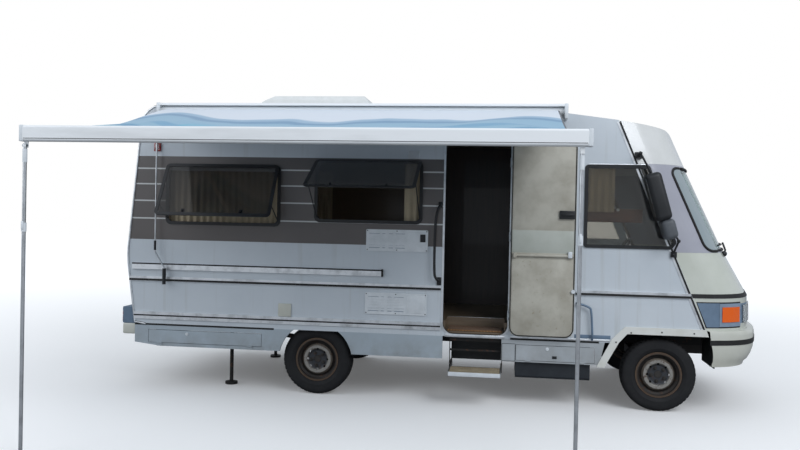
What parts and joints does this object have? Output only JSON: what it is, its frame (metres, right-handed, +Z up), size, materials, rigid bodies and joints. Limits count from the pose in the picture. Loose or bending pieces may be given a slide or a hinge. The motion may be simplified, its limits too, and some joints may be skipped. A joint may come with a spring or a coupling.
{
  "type": "camper van",
  "caption": "Hollow camper van with moulded front, open entry door, roof hatch, pull-out step and a folding-arm side awning standing on legs.",
  "frame": {"origin": "on the ground under the middle of the whole outline, awning included", "axes": "+X towards the van's front, +Y to its left, +Z up"},
  "size_m": [6.01, 4.615, 2.898],
  "materials": {
    "wall_panel": "smooth white coachwork paint",
    "cab_moulding": "cream gel coat",
    "surround_grey": "lavender grey paint",
    "window_glass": "clear",
    "frame_dark": "moulded",
    "lamp_lens": "ribbed lens",
    "grille_plastic": "moulded",
    "bumper_plastic": "moulded, slightly dirty",
    "skirt_paint": "painted, road dirt low down",
    "trim_strip": "anodised strip",
    "white_plastic": "moulded",
    "door_skin": "moulded liner",
    "dark_plastic": "moulded",
    "chassis_steel": "black paint, light rust",
    "engine_iron": "cast",
    "tank_plastic": "moulded",
    "step_aluminium": "ribbed",
    "hatch_plastic": "moulded dome",
    "seat_fabric": "woven",
    "curtain_cloth": "woven",
    "cabinet_wood": "veneer",
    "floor_board": "sheet floor",
    "awning_aluminium": "white coated and bare",
    "awning_fabric": "coated cloth",
    "tyre_rubber": "worn",
    "wheel_steel": "rusty pressed steel"
  },
  "bodies": {
    "van": {"side_wall_left": "wall_panel", "side_wall_right": "wall_panel", "roof_panel": "wall_panel", "rear_wall": "wall_panel", "front_dome": "cab_moulding", "nose_panel": "cab_moulding", "windscreen_surround": "surround_grey", "windscreen": "window_glass", "window_panes": "window_glass", "window_frames": "frame_dark", "lamps": "lamp_lens", "front_grille": "grille_plastic", "bumpers": "bumper_plastic", "skirts": "skirt_paint", "side_trims": "trim_strip", "fridge_vents": "white_plastic", "mirrors": "dark_plastic", "chassis_frame": "chassis_steel", "outriggers": "chassis_steel", "rear_axle": "chassis_steel", "front_axle": "chassis_steel", "engine_block": "engine_iron", "tanks": "tank_plastic", "step_frame": "chassis_steel", "hatch_frame": "white_plastic", "seats": "seat_fabric", "curtains": "curtain_cloth", "dashboard": "dark_plastic", "furniture": "cabinet_wood", "floor_panel": "floor_board", "awning_case": "awning_aluminium", "awning_crank": "awning_aluminium", "awning_cloth": "awning_fabric"},
    "entry_door": {"entry_door": "door_skin"},
    "driver_door": {"driver_door": "wall_panel", "driver_door_pane": "window_glass"},
    "flap_right_front": {"flap_right_front": "skirt_paint"},
    "flap_right_rear": {"flap_right_rear": "skirt_paint"},
    "hatch_lid": {"hatch_lid": "hatch_plastic"},
    "step_tread": {"step_tread": "step_aluminium"},
    "steady_left": {"steady_left": "chassis_steel"},
    "steady_right": {"steady_right": "chassis_steel"},
    "knuckle_left": {"knuckle_left": "chassis_steel"},
    "knuckle_right": {"knuckle_right": "chassis_steel"},
    "wheel_front_left": {"wheel_front_left": "wheel_steel", "tyre_front_left": "tyre_rubber"},
    "wheel_front_right": {"wheel_front_right": "wheel_steel", "tyre_front_right": "tyre_rubber"},
    "wheel_rear_left": {"wheel_rear_left": "wheel_steel", "tyre_rear_left": "tyre_rubber"},
    "wheel_rear_right": {"wheel_rear_right": "wheel_steel", "tyre_rear_right": "tyre_rubber"},
    "awning_upper_arm_rear": {"awning_upper_arm_rear": "awning_aluminium"},
    "awning_fore_arm_rear": {"awning_fore_arm_rear": "awning_aluminium"},
    "awning_upper_arm_front": {"awning_upper_arm_front": "awning_aluminium"},
    "awning_fore_arm_front": {"awning_fore_arm_front": "awning_aluminium"},
    "awning_lead_rail": {"awning_lead_rail": "awning_aluminium"},
    "awning_leg_rear": {"awning_leg_rear": "awning_aluminium"},
    "awning_leg_front": {"awning_leg_front": "awning_aluminium"}
  },
  "joints": [
    {"name": "entry_door_hinge", "type": "hinge", "parent": "van", "child": "entry_door", "pos_m": [0.666, -0.09546, 1.5], "axis": [0, 0, 1], "range_deg": [-180, 0]},
    {"name": "driver_door_hinge", "type": "hinge", "parent": "van", "child": "driver_door", "pos_m": [2.3, 2.13054, 0.815], "axis": [0, 0, -1], "range_deg": [0, 70]},
    {"name": "flap_front_hinge", "type": "hinge", "parent": "van", "child": "flap_right_front", "pos_m": [1.088, -0.08846, 0.4135], "axis": [1, 0, 0], "range_deg": [0, 100]},
    {"name": "flap_rear_hinge", "type": "hinge", "parent": "van", "child": "flap_right_rear", "pos_m": [-2.175, -0.08846, 0.4315], "axis": [1, 0, 0], "range_deg": [0, 100]},
    {"name": "hatch_hinge", "type": "hinge", "parent": "van", "child": "hatch_lid", "pos_m": [-0.765, 1.01754, 2.768], "axis": [0, 1, 0], "range_deg": [0, 55]},
    {"name": "step_slide", "type": "slide", "parent": "van", "child": "step_tread", "axis": [0, -1, 0], "range_m": [-0.235, 0]},
    {"name": "steady_left_hinge", "type": "hinge", "parent": "van", "child": "steady_left", "pos_m": [-2.02, 1.77754, 0.56], "axis": [0, -1, 0], "range_deg": [-88, 0]},
    {"name": "steady_right_hinge", "type": "hinge", "parent": "van", "child": "steady_right", "pos_m": [-2.02, 0.25754, 0.56], "axis": [0, -1, 0], "range_deg": [-88, 0]},
    {"name": "steer_left", "type": "hinge", "parent": "van", "child": "knuckle_left", "pos_m": [2, 1.83754, 0.325], "axis": [0, 0, 1], "range_deg": [-30, 30]},
    {"name": "steer_right", "type": "hinge", "parent": "van", "child": "knuckle_right", "pos_m": [2, 0.19754, 0.325], "axis": [0, 0, 1], "range_deg": [-30, 30]},
    {"name": "spin_front_left", "type": "hinge", "parent": "knuckle_left", "child": "wheel_front_left", "pos_m": [2, 1.96254, 0.325], "axis": [0, 1, 0], "continuous": true},
    {"name": "spin_front_right", "type": "hinge", "parent": "knuckle_right", "child": "wheel_front_right", "pos_m": [2, 0.07254, 0.325], "axis": [0, 1, 0], "continuous": true},
    {"name": "spin_rear_left", "type": "hinge", "parent": "van", "child": "wheel_rear_left", "pos_m": [-1.1, 1.96254, 0.325], "axis": [0, 1, 0], "continuous": true},
    {"name": "spin_rear_right", "type": "hinge", "parent": "van", "child": "wheel_rear_right", "pos_m": [-1.1, 0.07254, 0.325], "axis": [0, 1, 0], "continuous": true},
    {"name": "awning_shoulder_rear", "type": "hinge", "parent": "van", "child": "awning_upper_arm_rear", "pos_m": [-2.472, -0.14046, 2.596], "axis": [0, 0.1984, -0.9801], "range_deg": [-64.8, 0], "deforming": ["awning_cloth"]},
    {"name": "awning_elbow_rear", "type": "hinge", "parent": "awning_upper_arm_rear", "child": "awning_fore_arm_rear", "pos_m": [-2.02266, -1.178, 2.386], "axis": [0, 0.1984, -0.9801], "range_deg": [0, 129.6]},
    {"name": "awning_wrist_rear", "type": "hinge", "parent": "awning_fore_arm_rear", "child": "awning_lead_rail", "pos_m": [-2.472, -2.21554, 2.176], "axis": [0, 0.1984, -0.9801], "range_deg": [-64.8, 0]},
    {"name": "awning_shoulder_front", "type": "hinge", "parent": "van", "child": "awning_upper_arm_front", "pos_m": [0.978, -0.14046, 2.596], "axis": [0, 0.1984, -0.9801], "range_deg": [0, 64.8]},
    {"name": "awning_elbow_front", "type": "hinge", "parent": "awning_upper_arm_front", "child": "awning_fore_arm_front", "pos_m": [0.52866, -1.178, 2.386], "axis": [0, 0.1984, -0.9801], "range_deg": [-129.6, 0]},
    {"name": "awning_leg_rear_hinge", "type": "hinge", "parent": "awning_lead_rail", "child": "awning_leg_rear", "pos_m": [-2.612, -2.29254, 2.113], "axis": [0, 1, 0], "range_deg": [-90, 0]},
    {"name": "awning_leg_front_hinge", "type": "hinge", "parent": "awning_lead_rail", "child": "awning_leg_front", "pos_m": [1.095, -2.26054, 2.113], "axis": [0, -1, 0], "range_deg": [-90, 0]}
  ],
  "couplings": [
    {"joint": "steer_right", "follows": "steer_left", "ratio": 1},
    {"joint": "awning_elbow_rear", "follows": "awning_shoulder_rear", "ratio": -2},
    {"joint": "awning_wrist_rear", "follows": "awning_shoulder_rear", "ratio": 1},
    {"joint": "awning_shoulder_front", "follows": "awning_shoulder_rear", "ratio": -1},
    {"joint": "awning_elbow_front", "follows": "awning_shoulder_rear", "ratio": 2}
  ]
}
